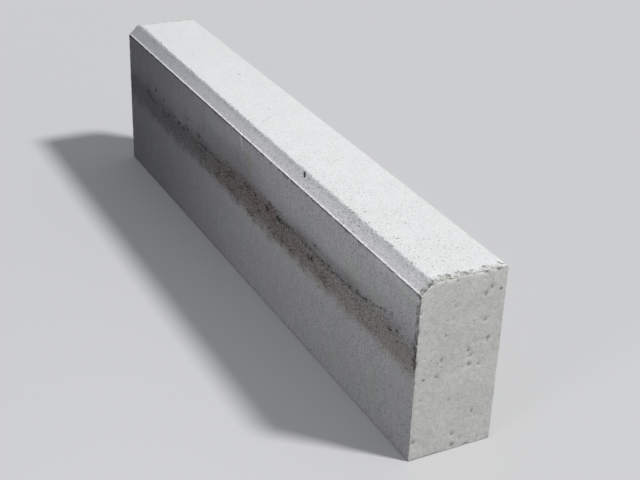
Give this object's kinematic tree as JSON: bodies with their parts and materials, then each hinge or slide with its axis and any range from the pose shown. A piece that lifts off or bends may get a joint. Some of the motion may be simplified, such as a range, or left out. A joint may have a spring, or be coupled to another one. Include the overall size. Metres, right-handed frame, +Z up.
{
  "type": "concrete kerb stone",
  "caption": "Straight precast concrete kerb stone, rectangular in section with a chamfered and lipped upper front edge.",
  "frame": {"origin": "middle of the bed face, on the floor the stone stands on", "axes": "+X along the kerb, -Y towards the road side with the chamfer, +Z up"},
  "size_m": [1, 0.12, 0.25],
  "materials": {
    "concrete": "matt pressed concrete, pale grey, sandy on the top and smooth on the sides"
  },
  "bodies": {
    "root": {"kerb_stone": "concrete"}
  },
  "joints": []
}
